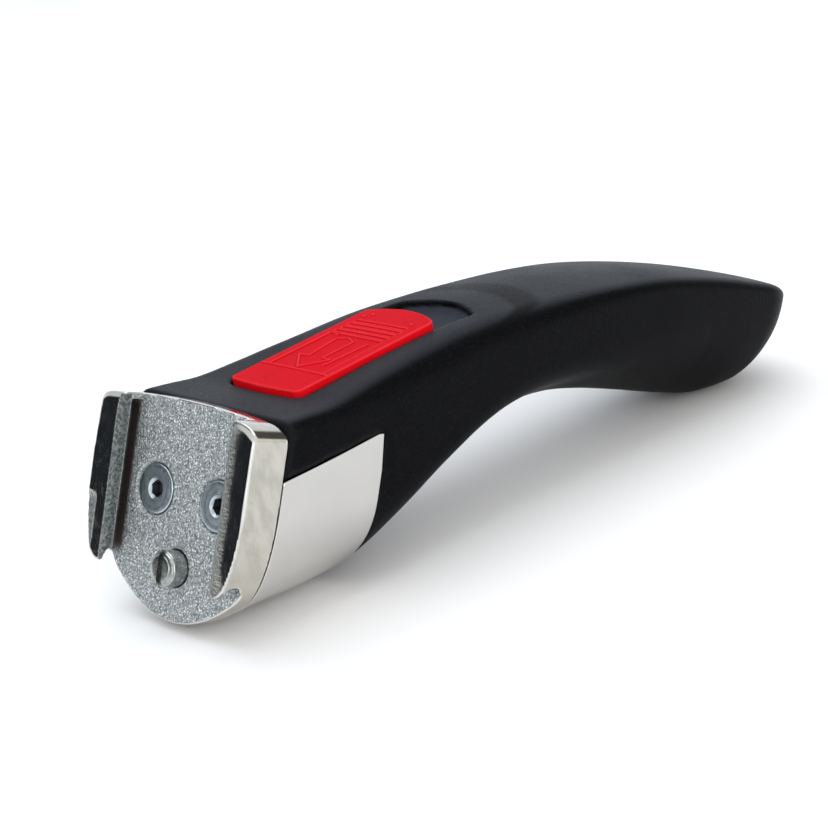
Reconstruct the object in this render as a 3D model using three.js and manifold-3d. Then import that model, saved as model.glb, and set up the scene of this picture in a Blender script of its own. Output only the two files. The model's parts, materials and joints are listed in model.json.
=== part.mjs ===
// Detachable pan handle: a die-cast head with two grooved side rails that slides over a bracket on the pan,
// a moulded grip, a steel belly cover, and a thumb button that draws a spring latch pin back into the head.
//
// Everything is drawn in the head's own frame and the whole group is then tipped onto its resting points:
//   x  away from the pan, square to the face of the head plate (x = 0 is that face)
//   y  across the handle, which is symmetric about y = 0
//   z  up along the face of the plate, 0 at the height of the two plate screws
import * as THREE from "three";
import { mergeVertices } from "three/addons/utils/BufferGeometryUtils.js";
import Module from "manifold-3d";

const wasm = await Module();
wasm.setup();

// ---- driving dimensions, millimetres and degrees ----
const GAP = 0.3; // clearance between neighbouring pieces
const REST_TILT = 18.3; // how far the head leans back when the handle lies on its belly and its tail

// head casting
const HEAD_HALF_WIDTH = 21.6;
const HEAD_TOP = 17;
const HEAD_CORNER = [5, 3.3]; // width and height of its upper corners
const HEAD_BOTTOM = -23.7;
const PLATE_THICKNESS = 3.4;
const RAIL_FRONT = -5.4;
const LIP_THICKNESS = 2.6;
const LIP_INNER = 15.1; // half the clear width between the two lips
const LIP_END = -15.3; // the lips' front is trimmed here, above the rounded foot of the plate
const RAIL_END = -12.9; // and the rails behind it here
const FOOT_THICKNESS = 0.7;
const GROOVE_WALL = 18.6; // half the width across the two grooves
const GROOVE_TOP = 16; // the grooves stop here, which stops the bracket

// fixings
const SCREW_SPACING = 17.4;
const SCREW_HEAD_R = 4.8;
const SCREW_SHANK_R = 2.35;
const SCREW_LENGTH = 13;
const SOCKET_ACROSS_FLATS = 3;
const INSERT_R = 3.4;
const COVER_SCREW_X = 25;

// latch
const PIN_Z = -13.45;
const PIN_R = 3.45;
const PIN_PROTRUSION = 3.8;
const PIN_SLOT_WIDTH = 1.4;
const BUSH_R = 5.2;
const FOOT_X0 = 9.3;
const FOOT_X1 = 13.0;
const GUIDE_ROD_Y = 7.5;
const GUIDE_ROD_Z = -10.5;
const GUIDE_ROD_R = 1.5;
const SPRING_Z = -3;
const SPRING_ROD_R = 1.3;
const SPRING_R = 2.35;
const SPRING_WIRE_R = 0.42;
const SPRING_TURNS = 6;
const SEAT_X0 = 33.2;
const SEAT_X1 = 36.2;
const POST_X0 = 24.7;
const POST_X1 = 29.7;
const PIN_TRAVEL = 5.02; // along x
const BUTTON_TRAVEL = 5.5; // along the button slope

// release button, in a frame sloped like the button: s along the slide, h square to it
const BUTTON_SLOPE = 24;
const BUTTON_S0 = 23.5;
const BUTTON_S1 = 63.0;
const BUTTON_BOW_FRONT = 0.7;
const BUTTON_BOW_REAR = 2.6;
const BUTTON_HALF_WIDTH = 9.5;
const BUTTON_TOP = 13.7;
const POCKET_FLOOR = 9.4;
const POCKET_S1 = 74.8;
const POCKET_BOW_REAR = 3.4;

// belly cover
const COVER_THICKNESS = 0.9;
const COVER_FRONT = PLATE_THICKNESS + GAP;
const COVER_REAR = 31.2; // the straight part of the rear edge
const COVER_EDGE_FRONT = [3.8, 6.9]; // the upper edge climbs from here
const COVER_CORNER = [30.3, 16.3]; // to here, its rear corner

// grip: height of the top line, height of the underside and half width at stations along x
const BODY_FRONT = PLATE_THICKNESS + GAP;
const BODY_END = 182.8;
const TAIL_START = 165; // the tail closes in an ellipse from here on
const TAIL_TIP = 52.9; // height of the tail's tip
const TOP_LINE = [
  [3.4, 17.6], [9, 19.1], [16, 21], [24, 24.5], [34, 29.1], [52, 36.8], [66, 41.7], [80, 45.9],
  [100, 51], [120, 54.8], [140, 56.8], [160, 57.4], [190, 57],
];
const BOTTOM_LINE = [
  [3.4, -23.7], [12, -21.1], [22, -18.3], [32, -14.6], [42, -6.8], [52, 2.4], [62, 10.3], [72, 16.2],
  [84, 20.8], [98, 24.2], [112, 25.6], [128, 26], [145, 26.1], [158, 27.2], [190, 36.2],
];
const HALF_WIDTH = [[3.4, 21.6], [16, 20.9], [30, 20], [60, 19.1], [95, 18.9], [130, 19.2], [155, 19.3], [190, 19]];

// ---- materials ----
const material = (color, roughness, metalness) => new THREE.MeshStandardMaterial({ color, roughness, metalness });
const CAST = material(0xa9adac, 0.45, 1);
const STEEL = material(0xdcdcda, 0.18, 1);
const ZINC = material(0xaab2ba, 0.3, 1);
const BLACK = material(0x1c1d21, 0.62, 0);
const RED = material(0xd8202c, 0.45, 0);
const BRASS = material(0xb59a52, 0.35, 1);
const DARK_PLASTIC = material(0x2b2c30, 0.55, 0);

// ---- helpers ----
const rad = THREE.MathUtils.degToRad;

function toSolid(geometry) {
  const g = geometry.clone();
  g.deleteAttribute("normal");
  g.deleteAttribute("uv");
  const merged = mergeVertices(g, 1e-4);
  return new wasm.Manifold(
    new wasm.Mesh({
      numProp: 3,
      vertProperties: new Float32Array(merged.attributes.position.array),
      triVerts: new Uint32Array(merged.index.array),
    }),
  );
}

function toMesh(name, solid, mat) {
  const m = solid.getMesh();
  const g = new THREE.BufferGeometry();
  g.setAttribute("position", new THREE.BufferAttribute(new Float32Array(m.vertProperties), 3));
  g.setIndex(new THREE.BufferAttribute(new Uint32Array(m.triVerts), 1));
  g.computeVertexNormals();
  const mesh = new THREE.Mesh(g, mat);
  mesh.name = name;
  return mesh;
}

const join = (...solids) => solids.reduce((a, b) => a.add(b));
const cut = (solid, ...tools) => tools.reduce((a, b) => a.subtract(b), solid);
const slope = new THREE.Matrix4().makeRotationY(-rad(BUTTON_SLOPE));

// a box between two corners, optionally carried by a matrix
function box(x0, x1, y0, y1, z0, z1, matrix) {
  const g = new THREE.BoxGeometry(x1 - x0, y1 - y0, z1 - z0);
  g.translate((x0 + x1) / 2, (y0 + y1) / 2, (z0 + z1) / 2);
  if (matrix) g.applyMatrix4(matrix);
  return toSolid(g);
}

// a turned piece with its axis along x at (y, z): profile is a list of [x, r]
function turnedX(profile, y, z, segments = 24) {
  const pts = profile.map(([x, r]) => new THREE.Vector2(r, x));
  const g = new THREE.LatheGeometry(pts, segments);
  g.rotateZ(-Math.PI / 2);
  g.translate(0, y, z);
  return toSolid(g);
}

const rodX = (x0, x1, r, y, z, segments = 24) => turnedX([[x0, 0], [x0, r], [x1, r], [x1, 0]], y, z, segments);

// a flat outline in y and z, extruded from x0 to x1
function plateX(shape, x0, x1, curveSegments = 8) {
  const g = new THREE.ExtrudeGeometry(shape, { depth: x1 - x0, bevelEnabled: false, curveSegments });
  g.rotateX(Math.PI / 2);
  g.rotateZ(Math.PI / 2);
  g.translate(x0, 0, 0);
  return toSolid(g);
}

// a flat outline in x and z, extruded to both sides of y = 0
function plateY(points, halfWidth) {
  const g = new THREE.ExtrudeGeometry(new THREE.Shape(points.map(([x, z]) => new THREE.Vector2(x, z))), {
    depth: 2 * halfWidth,
    bevelEnabled: false,
  });
  g.rotateX(Math.PI / 2);
  g.translate(0, halfWidth, 0);
  return toSolid(g);
}

// smooth curve through stations, as a function of x
function curveAt(stations, x) {
  const n = stations.length;
  const slopeAt = (i) => {
    const a = stations[Math.max(i - 1, 0)];
    const b = stations[Math.min(i + 1, n - 1)];
    return (b[1] - a[1]) / (b[0] - a[0]);
  };
  let i = 0;
  while (i < n - 2 && x > stations[i + 1][0]) i += 1;
  const [x0, y0] = stations[i];
  const [x1, y1] = stations[i + 1];
  const d = x1 - x0;
  const t = (x - x0) / d;
  const t2 = t * t;
  const t3 = t2 * t;
  return (
    (2 * t3 - 3 * t2 + 1) * y0 +
    (t3 - 2 * t2 + t) * d * slopeAt(i) +
    (3 * t2 - 2 * t3) * y1 +
    (t3 - t2) * d * slopeAt(i + 1)
  );
}

// ---- the grip's cross section ----
// Sizes of one section; inset shrinks its sides and underside for the seat of the belly cover.
function sectionAt(x, inset = 0) {
  const { lerp, smoothstep } = THREE.MathUtils;
  const along = smoothstep(x, BODY_FRONT, 60);
  const crest = smoothstep(x, BODY_FRONT, 45);
  const hump = smoothstep(x, 60, 120);
  const tail = smoothstep(x, 95, TAIL_START);
  const u = Math.max(0, (x - TAIL_START) / (BODY_END - TAIL_START));
  const close = Math.sqrt(Math.max(0.004, 1 - u * u));
  const halfWidth = curveAt(HALF_WIDTH, x) * Math.sqrt(Math.max(0.02, 1 - u * u)) - inset;
  const top = lerp(TAIL_TIP, curveAt(TOP_LINE, x), Math.sqrt(close));
  const bottom = lerp(TAIL_TIP, curveAt(BOTTOM_LINE, x), close) + inset;
  const crown = 1.2 * smoothstep(x, 20, 120) * close;
  const lowRound = Math.min(lerp(5, 11, along) + 5 * tail, 0.88 * halfWidth);
  const sag = lerp(lerp(0.414, 0.277, along), 0.04, tail) * (halfWidth - lowRound);
  const topDrop = lerp(lerp(3, 6, crest), 3.6, hump);
  const lowRise = lerp(19.1, 10, along) + 18.8 * tail;
  const fit = Math.min(1, (0.94 * (top - bottom)) / (topDrop + lowRise + crown + sag));
  return {
    halfWidth,
    top,
    bottom,
    crown: crown * fit,
    sag: sag * fit,
    topRound: Math.min(lerp(lerp(3, 6.2, crest), 4, hump), 0.6 * halfWidth),
    topDrop: topDrop * fit,
    lowRound,
    lowRise: lowRise * fit,
  };
}

// Right half of a section, from the middle of the top to the middle of the underside, as [y, z] points:
// a crowned top, a rounded shoulder, a flat side, a rounder lower corner and a bowed underside.
function halfSection(s) {
  const k = 0.5523;
  const yTop = s.halfWidth - s.topRound;
  const yLow = s.halfWidth - s.lowRound;
  const topSlope = (-2 * s.crown) / yTop;
  const lowSlope = (2 * s.sag) / yLow;
  const shoulder = s.top - s.crown;
  const sideTop = shoulder - s.topDrop;
  const low = s.bottom + s.sag;
  const sideLow = low + s.lowRise;
  const v = (y, z) => new THREE.Vector2(y, z);
  const corner = new THREE.CubicBezierCurve(
    v(yTop, shoulder),
    v(yTop + k * s.topRound, shoulder + k * s.topRound * topSlope),
    v(s.halfWidth, sideTop + k * s.topDrop),
    v(s.halfWidth, sideTop),
  );
  const lower = new THREE.CubicBezierCurve(
    v(s.halfWidth, sideLow),
    v(s.halfWidth, sideLow - k * (sideLow - low)),
    v(yLow + k * s.lowRound, low + k * s.lowRound * lowSlope),
    v(yLow, low),
  );
  const out = [];
  for (let i = 0; i < 3; i += 1) out.push(v((yTop * i) / 3, s.top - s.crown * (i / 3) ** 2));
  out.push(...corner.getPoints(5));
  out.push(...lower.getPoints(6));
  for (let i = 2; i >= 0; i -= 1) out.push(v((yLow * i) / 3, s.bottom + s.sag * (i / 3) ** 2));
  return out;
}

// closed ring of a section: down the +y side and back up the other
function ring(s) {
  const half = halfSection(s);
  const mirrored = half
    .slice(1, -1)
    .reverse()
    .map((p) => new THREE.Vector2(-p.x, p.y));
  return [...half, ...mirrored];
}

// skin over the sections at the given stations
function loft(stations, inset = 0) {
  const rings = stations.map((x) => ring(sectionAt(x, inset)).map((p) => [x, p.x, p.y]));
  const n = rings[0].length;
  const positions = rings.flat(2);
  const index = [];
  const last = (rings.length - 1) * n;
  for (let r = 0; r < rings.length - 1; r += 1) {
    for (let i = 0; i < n; i += 1) {
      const j = (i + 1) % n;
      index.push(r * n + i, (r + 1) * n + j, r * n + j);
      index.push(r * n + i, (r + 1) * n + i, (r + 1) * n + j);
    }
  }
  // each flat end is a fan from a point in its middle
  for (const [base, flip] of [[0, true], [last, false]]) {
    const hub = positions.length / 3;
    const low = positions[(base + n / 2) * 3 + 2];
    const high = positions[base * 3 + 2];
    positions.push(positions[base * 3], 0, (low + high) / 2);
    for (let i = 0; i < n; i += 1) {
      const j = (i + 1) % n;
      index.push(hub, base + (flip ? i : j), base + (flip ? j : i));
    }
  }
  const g = new THREE.BufferGeometry();
  g.setAttribute("position", new THREE.Float32BufferAttribute(positions, 3));
  g.setIndex(index);
  return toSolid(g);
}

// stations, closer together where the grip curves most and at the tail
function gripStations() {
  const xs = [];
  for (let x = BODY_FRONT; x < 58; x += 4.33) xs.push(x);
  for (let x = 60; x < TAIL_START - 3; x += 5.6) xs.push(x);
  for (let i = 0; i <= 9; i += 1) {
    xs.push(TAIL_START + (BODY_END - TAIL_START) * Math.sin((i / 9) * (Math.PI / 2)));
  }
  return xs;
}

// ---- head casting ----
function headOutline() {
  const [topRound, topDrop] = HEAD_CORNER;
  const size = { halfWidth: HEAD_HALF_WIDTH, top: HEAD_TOP, bottom: HEAD_BOTTOM, topRound, topDrop };
  return new THREE.Shape(ring({ ...sectionAt(PLATE_THICKNESS), ...size }));
}

function countersink(y) {
  const profile = [[-1, 0], [-1, 5.5], [0, 5.5], [0.4, 5.1], [0.75, 5.1], [3.0, 2.75], [6, 2.75], [6, 0]];
  return turnedX(profile, y, 0, 32);
}

function makeHeadPlate() {
  const outline = headOutline();
  const block = plateX(outline, RAIL_FRONT, PLATE_THICKNESS);
  const mouth = box(RAIL_FRONT - 1, 0, -LIP_INNER, LIP_INNER, -30, 30);
  const grooves = box(RAIL_FRONT + LIP_THICKNESS, 0, -GROOVE_WALL, GROOVE_WALL, -30, GROOVE_TOP);
  const trim = box(RAIL_FRONT - 1, 0, -30, 30, -30, LIP_END);
  const railTrim = box(RAIL_FRONT + FOOT_THICKNESS, 0, -30, 30, -30, RAIL_END);
  const screwHoles = [-1, 1].map((side) => countersink((side * SCREW_SPACING) / 2));
  const pinHole = rodX(-1, 6, PIN_R + 0.2, 0, PIN_Z, 32);
  const rodHoles = [-1, 1].map((side) => {
    return rodX(1.6, 6, GUIDE_ROD_R + GAP, side * GUIDE_ROD_Y, GUIDE_ROD_Z, 16);
  });
  return cut(block, mouth, grooves, trim, railTrim, ...screwHoles, pinHole, ...rodHoles);
}

// ---- fixings ----
function hexSocket(x0, x1, y, z) {
  const r = SOCKET_ACROSS_FLATS / Math.sqrt(3);
  const g = new THREE.CylinderGeometry(r, r, x1 - x0, 6);
  g.rotateZ(-Math.PI / 2);
  g.translate((x0 + x1) / 2, y, z);
  return toSolid(g);
}

function makePlateScrew(y) {
  const profile = [
    [0.25, 0],
    [0.25, SCREW_HEAD_R - 0.15],
    [0.4, SCREW_HEAD_R],
    [0.7, SCREW_HEAD_R],
    [0.7 + SCREW_HEAD_R - SCREW_SHANK_R, SCREW_SHANK_R],
    [SCREW_LENGTH - 0.6, SCREW_SHANK_R],
    [SCREW_LENGTH, SCREW_SHANK_R - 0.6],
    [SCREW_LENGTH, 0],
  ];
  const chamfer = turnedX([[0, 0], [0, 2.1], [0.45, 1.6], [0.45, 0]], y, 0, 24);
  return cut(turnedX(profile, y, 0, 32), hexSocket(0, 2.4, y, 0), chamfer);
}

function makeInsert(y) {
  const x0 = BODY_FRONT + GAP;
  const body = turnedX([[x0, 0], [x0, INSERT_R], [12, INSERT_R], [12, 0]], y, 0, 24);
  return cut(body, rodX(x0 - 1, 13, SCREW_SHANK_R + GAP, y, 0));
}

// ---- latch ----
function makeLatchPin() {
  const tip = -PIN_PROTRUSION;
  const profile = [
    [tip, 0],
    [tip, PIN_R - 0.9],
    [tip + 0.25, PIN_R - 0.4],
    [tip + 0.9, PIN_R],
    [FOOT_X0 - GAP, PIN_R],
    [FOOT_X0 - GAP, 1.9],
    [FOOT_X1, 1.9],
    [FOOT_X1, 0],
  ];
  const slot = box(tip - 1, tip + 1.5, -PIN_SLOT_WIDTH / 2, PIN_SLOT_WIDTH / 2, PIN_Z - 5, PIN_Z + 5);
  return cut(turnedX(profile, 0, PIN_Z, 32), slot);
}

function makeBush() {
  const ring0 = rodX(BODY_FRONT, FOOT_X0 - 0.4, BUSH_R, 0, PIN_Z, 32);
  return cut(ring0, rodX(0, 12, PIN_R + 0.2, 0, PIN_Z, 32));
}

function makeCarriage() {
  const foot = plateX(
    new THREE.Shape(
      [[-9.6, -6.6], [-9.6, -13.2], [-3.9, -16.6], [3.9, -16.6], [9.6, -13.2], [9.6, -6.6]].map(
        ([y, z]) => new THREE.Vector2(y, z),
      ),
    ),
    FOOT_X0,
    FOOT_X1,
  );
  const web = box(FOOT_X0, FOOT_X1, -3.6, 3.6, -7, 6.4);
  const arm = box(FOOT_X0, POST_X1 + 3.5, -3.6, 3.6, 3.2, 6.4);
  const frontWall = box(POST_X0 - 3.5, POST_X0 - GAP, -3.6, 3.6, 6, 15.5);
  const rearWall = box(POST_X1 + GAP, POST_X1 + 3.5, -3.6, 3.6, 6, 15.5);
  const holes = [
    rodX(0, 20, 2.2, 0, PIN_Z, 16),
    rodX(0, 20, SPRING_ROD_R + GAP, 0, SPRING_Z, 16),
    rodX(0, 20, GUIDE_ROD_R + 0.25, GUIDE_ROD_Y, GUIDE_ROD_Z, 16),
    rodX(0, 20, GUIDE_ROD_R + 0.25, -GUIDE_ROD_Y, GUIDE_ROD_Z, 16),
  ];
  return cut(join(foot, web, arm, frontWall, rearWall), ...holes);
}

function makeSpring() {
  const x0 = FOOT_X1 + GAP + SPRING_WIRE_R;
  const x1 = SEAT_X0 - 0.9 - GAP - SPRING_WIRE_R;
  class Helix extends THREE.Curve {
    getPoint(t, target = new THREE.Vector3()) {
      const a = t * SPRING_TURNS * 2 * Math.PI;
      return target.set(x0 + t * (x1 - x0), SPRING_R * Math.cos(a), SPRING_Z + SPRING_R * Math.sin(a));
    }
  }
  const wire = new THREE.Shape();
  wire.absarc(0, 0, SPRING_WIRE_R, 0, 2 * Math.PI, false);
  const g = new THREE.ExtrudeGeometry(wire, {
    steps: SPRING_TURNS * 14,
    curveSegments: 4,
    extrudePath: new Helix(),
  });
  return toSolid(g);
}

function makeRodSeat() {
  const block = box(SEAT_X0, SEAT_X1, -3.9, 3.9, -7, 1.9);
  return cut(block, rodX(20, 40, SPRING_ROD_R + GAP, 0, SPRING_Z, 16));
}

function washer(x0, x1, inner, outer, y, z) {
  return cut(rodX(x0, x1, outer, y, z, 24), rodX(x0 - 1, x1 + 1, inner, y, z, 24));
}

// ---- release button ----
// plan outline in s and y: bowed front and rear edges, straight sides, rounded corners
function buttonOutline(s0, s1, halfWidth, bowFront, bowRear, r) {
  const shape = new THREE.Shape();
  shape.moveTo(s0 + r, -halfWidth);
  shape.lineTo(s1 - r, -halfWidth);
  shape.quadraticCurveTo(s1, -halfWidth, s1 + 0.35 * r, -halfWidth + r);
  shape.quadraticCurveTo(s1 + 2 * bowRear - 0.35 * r, 0, s1 + 0.35 * r, halfWidth - r);
  shape.quadraticCurveTo(s1, halfWidth, s1 - r, halfWidth);
  shape.lineTo(s0 + r, halfWidth);
  shape.quadraticCurveTo(s0, halfWidth, s0 - 0.1 * r, halfWidth - r);
  shape.quadraticCurveTo(s0 - 2 * bowFront + 0.1 * r, 0, s0 - 0.1 * r, -halfWidth + r);
  shape.quadraticCurveTo(s0, -halfWidth, s0 + r, -halfWidth);
  return shape;
}

// extrudes an outline in s and y between two heights h and lays it on the slope
function slopedPlate(shape, h0, h1, bevel = 0, curveSegments = 6) {
  const g = new THREE.ExtrudeGeometry(shape, {
    depth: h1 - h0 - 2 * bevel,
    bevelEnabled: bevel > 0,
    bevelThickness: bevel,
    bevelSize: bevel,
    bevelOffset: -bevel,
    bevelSegments: 2,
    curveSegments,
  });
  g.translate(0, 0, h0 + bevel);
  g.applyMatrix4(slope);
  return toSolid(g);
}

function makeButton() {
  const bottom = POCKET_FLOOR + GAP;
  const plan = buttonOutline(BUTTON_S0, BUTTON_S1, BUTTON_HALF_WIDTH, BUTTON_BOW_FRONT, BUTTON_BOW_REAR, 1.6);
  const block = slopedPlate(plan, bottom, BUTTON_TOP, 0.5);
  const panel = box(32.4, 49.8, -7.1, 7.1, BUTTON_TOP - 0.3, BUTTON_TOP + 1, slope);
  const grooves = [0, 1, 2, 3].map((i) => {
    const s = 50.9 + i * 1.9;
    return box(s, s + 0.8, -7, 7, BUTTON_TOP - 0.4, BUTTON_TOP + 1, slope);
  });
  const arrow = new THREE.Shape([
    new THREE.Vector2(33.4, 0),
    new THREE.Vector2(38.4, -4.2),
    new THREE.Vector2(38.4, -1.9),
    new THREE.Vector2(48.2, -1.9),
    new THREE.Vector2(48.2, 1.9),
    new THREE.Vector2(38.4, 1.9),
    new THREE.Vector2(38.4, 4.2),
  ]);
  const underside = box(25.7, 46.3, -6.8, 6.8, bottom - 1, 11.5, slope);
  const screwHoles = [28.5, 43.5].map((s) => sloped(rodZ(s, 10, 13.1, 1.05)));
  return join(
    cut(block, panel, ...grooves, underside, ...screwHoles),
    slopedPlate(arrow, BUTTON_TOP - 0.5, BUTTON_TOP),
  );
}

// a rod along h at s, as a geometry in the sloped frame
function rodZ(s, h0, h1, r, segments = 16) {
  const g = new THREE.CylinderGeometry(r, r, h1 - h0, segments);
  g.rotateX(Math.PI / 2);
  g.translate(s, 0, (h0 + h1) / 2);
  return g;
}

const sloped = (geometry) => toSolid(geometry.applyMatrix4(slope));

function makeDrivePost() {
  const bottom = POCKET_FLOOR + GAP;
  const flange = box(26, 46, -6.5, 6.5, bottom, 11.2, slope);
  const post = box(POST_X0, POST_X1, -2.3, 2.3, 7.2, 24.6);
  const top = box(20, 60, -10, 10, 11.1, 30, slope);
  const holes = [28.5, 43.5].map((s) => {
    return sloped(lathedZ(s, [[bottom - 1, 0], [bottom - 1, 2.2], [bottom + 0.1, 2.2], [11, 1.05], [13, 1.05], [13, 0]]));
  });
  return cut(join(flange, cut(post, top)), ...holes);
}

// a turned geometry along h at s: profile is a list of [h, r]
function lathedZ(s, profile, segments = 16) {
  const g = new THREE.LatheGeometry(
    profile.map(([h, r]) => new THREE.Vector2(r, h)),
    segments,
  );
  g.rotateX(Math.PI / 2);
  g.translate(s, 0, 0);
  return g;
}

function makeButtonScrew(s) {
  const h = POCKET_FLOOR + GAP;
  return sloped(lathedZ(s, [[h, 0], [h, 1.8], [h + 0.15, 1.8], [11, 0.75], [12.8, 0.75], [12.8, 0]]));
}

// ---- grip, with everything that is taken out of it ----
function pocket() {
  const plan = buttonOutline(BUTTON_S0 - 0.35, POCKET_S1, 9.85, BUTTON_BOW_FRONT, POCKET_BOW_REAR, 1.8);
  const floor = slopedPlate(plan, POCKET_FLOOR, POCKET_FLOOR + 20, 0, 8);
  const postSlot = box(POST_X0 - GAP, POST_X1 + PIN_TRAVEL + GAP, -2.7, 2.7, 12, 30);
  return join(floor, postSlot);
}

function mechanismSpace() {
  const ends = FOOT_X1 + PIN_TRAVEL + 0.4;
  const section = [[-9.9, -6.2], [-9.9, -13.4], [-4.2, -16.9], [4.2, -16.9], [9.9, -13.4], [9.9, -6.2]];
  const chamber = plateX(new THREE.Shape(section.map(([y, z]) => new THREE.Vector2(y, z))), 0, ends);
  const shaft = plateY(
    [
      [0, -16.9], [ends, -16.9], [ends, -7.3], [SEAT_X1 + GAP, -7.3], [SEAT_X1 + GAP, 2.4], [38.7, 2.4],
      [38.7, 16.2], [19.5, 16.2], [19.5, 9], [0, 9],
    ],
    4.2,
  );
  const bushBore = rodX(0, FOOT_X0 + 0.2, BUSH_R + GAP, 0, PIN_Z, 32);
  const inserts = [-1, 1].map((side) => rodX(0, 14, INSERT_R + GAP, (side * SCREW_SPACING) / 2, 0));
  const rods = [-1, 1].map((side) => rodX(10, 22.7, GUIDE_ROD_R + GAP, side * GUIDE_ROD_Y, GUIDE_ROD_Z, 16));
  return join(chamber, shaft, bushBore, ...inserts, ...rods);
}

// side outline of the belly cover in x and z, grown by grow: top edge climbing to a sharp rear corner
function coverSide(grow) {
  const front = COVER_FRONT - (grow > 0 ? 5 : 0);
  const [x0, z0] = COVER_EDGE_FRONT;
  const [x1, z1] = COVER_CORNER;
  const rise = (z1 - z0) / (x1 - x0);
  const topAt = (x) => z0 + rise * (x - x0) + grow * Math.hypot(1, rise);
  const rear = COVER_REAR + grow;
  const corner = x1 + grow;
  return plateY([[front, -40], [rear, -40], [rear, 9], [corner, topAt(corner)], [front, topAt(front)]], 40);
}

function coverScrewFrame() {
  const angle = Math.atan2(14.8 - 18.3, 32 - 22);
  const z = curveAt(BOTTOM_LINE, COVER_SCREW_X);
  return new THREE.Matrix4().makeTranslation(COVER_SCREW_X, 0, z).multiply(new THREE.Matrix4().makeRotationY(angle));
}

const onCover = (profile) => toSolid(lathedZ(0, profile, 24).applyMatrix4(coverScrewFrame()));

function makeBellyCover() {
  const stations = [];
  for (let x = COVER_FRONT; x < 34; x += 3.6) stations.push(x);
  const outside = loft(stations);
  const inside = loft([COVER_FRONT - 1, ...stations.slice(1), 37], COVER_THICKNESS);
  const shell = cut(outside.intersect(coverSide(0)), inside);
  return cut(shell, onCover([[-2, 0], [-2, 2.9], [0.35, 2.9], [2, 1.7], [3, 1.7], [3, 0]]));
}

function makeCoverScrew() {
  const profile = [[0.15, 0], [0.15, 2.5], [0.35, 2.55], [1.6, 1.4], [6.2, 1.4], [6.8, 0.8], [6.8, 0]];
  const slot = new THREE.BoxGeometry(6, 0.8, 1.4).applyMatrix4(coverScrewFrame());
  return cut(onCover(profile), toSolid(slot));
}

function makeHandleBody() {
  const outer = loft(gripStations());
  const seatStations = [BODY_FRONT - 1, 7.3, 10.9, 14.5, 18.1, 21.7, 25.3, 28.9, 32.5, 37];
  const seat = cut(coverSide(GAP), loft(seatStations, COVER_THICKNESS + GAP));
  const screwBore = onCover([[-2, 0], [-2, 2.9], [0.5, 2.9], [2, 1.75], [7.4, 1.75], [7.4, 0]]);
  return cut(outer, seat, pocket(), mechanismSpace(), screwBore);
}

// ---- assembly ----
const handle = new THREE.Group();
handle.name = "pan_handle";
handle.rotation.y = rad(REST_TILT);

handle.add(toMesh("head_plate", makeHeadPlate(), CAST));
handle.add(toMesh("handle_body", makeHandleBody(), BLACK));
handle.add(toMesh("belly_cover", makeBellyCover(), STEEL));
handle.add(toMesh("cover_screw", makeCoverScrew(), ZINC));
for (const [side, word] of [[1, "left"], [-1, "right"]]) {
  const y = (side * SCREW_SPACING) / 2;
  handle.add(toMesh("plate_screw_" + word, makePlateScrew(y), ZINC));
  handle.add(toMesh("screw_insert_" + word, makeInsert(y), BRASS));
  const guide = rodX(2, 22.3, GUIDE_ROD_R, side * GUIDE_ROD_Y, GUIDE_ROD_Z, 16);
  handle.add(toMesh("guide_rod_" + word, guide, STEEL));
}
handle.add(toMesh("pin_bush", makeBush(), BRASS));
handle.add(toMesh("latch_pin", makeLatchPin(), STEEL));
handle.add(toMesh("carriage", makeCarriage(), ZINC));
handle.add(toMesh("spring_rod", rodX(7.4, SEAT_X1, SPRING_ROD_R, 0, SPRING_Z, 16), STEEL));
handle.add(toMesh("rod_clip", washer(7.8, 8.6, SPRING_ROD_R + 0.25, 2.7, 0, SPRING_Z), STEEL));
handle.add(toMesh("spring_washer", washer(SEAT_X0 - 0.9, SEAT_X0 - 0.3, SPRING_ROD_R + GAP, 3.2, 0, SPRING_Z), STEEL));
handle.add(toMesh("rod_seat", makeRodSeat(), ZINC));
handle.add(toMesh("return_spring", makeSpring(), STEEL));
handle.add(toMesh("release_button", makeButton(), RED));
handle.add(toMesh("drive_post", makeDrivePost(), DARK_PLASTIC));
handle.add(toMesh("button_screw_front", makeButtonScrew(28.5), ZINC));
handle.add(toMesh("button_screw_rear", makeButtonScrew(43.5), ZINC));

// stand the tipped handle on z = 0, centred over the origin
handle.updateMatrixWorld(true);
const bounds = new THREE.Box3().setFromObject(handle, true);
const centre = bounds.getCenter(new THREE.Vector3());
handle.position.set(-centre.x, 0, -bounds.min.z);

export default handle;
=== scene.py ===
import json
import math

import bmesh
import bpy
import numpy as np
from mathutils import Matrix, Vector, noise


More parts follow.
